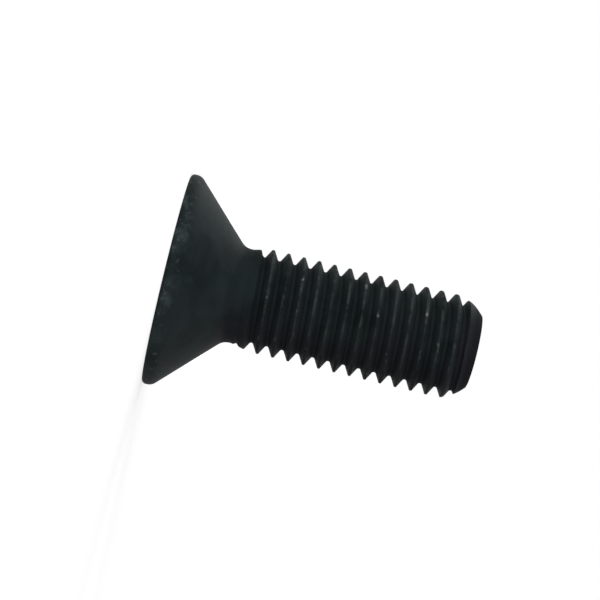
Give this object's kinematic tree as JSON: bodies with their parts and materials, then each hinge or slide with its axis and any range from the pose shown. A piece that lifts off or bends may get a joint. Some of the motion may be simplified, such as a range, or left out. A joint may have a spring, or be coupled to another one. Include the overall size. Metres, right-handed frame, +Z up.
{
  "type": "countersunk socket screw",
  "caption": "Countersunk head screw with a hexagon socket, blackened steel, threaded nearly to the head, with a chamfered tip; it clamps a plate flush against a tapped hole.",
  "frame": {"origin": "centre of the head's flat face, which the screw stands on", "axes": "+Z up along the screw's own axis, from the head to the tip; two flats of the socket face +X and -X"},
  "size_m": [0.0204, 0.0204, 0.03],
  "materials": {
    "black_oxide_steel": "blackened steel with a thin film of oil, satin"
  },
  "bodies": {
    "root": {"screw": "black_oxide_steel"}
  },
  "joints": []
}
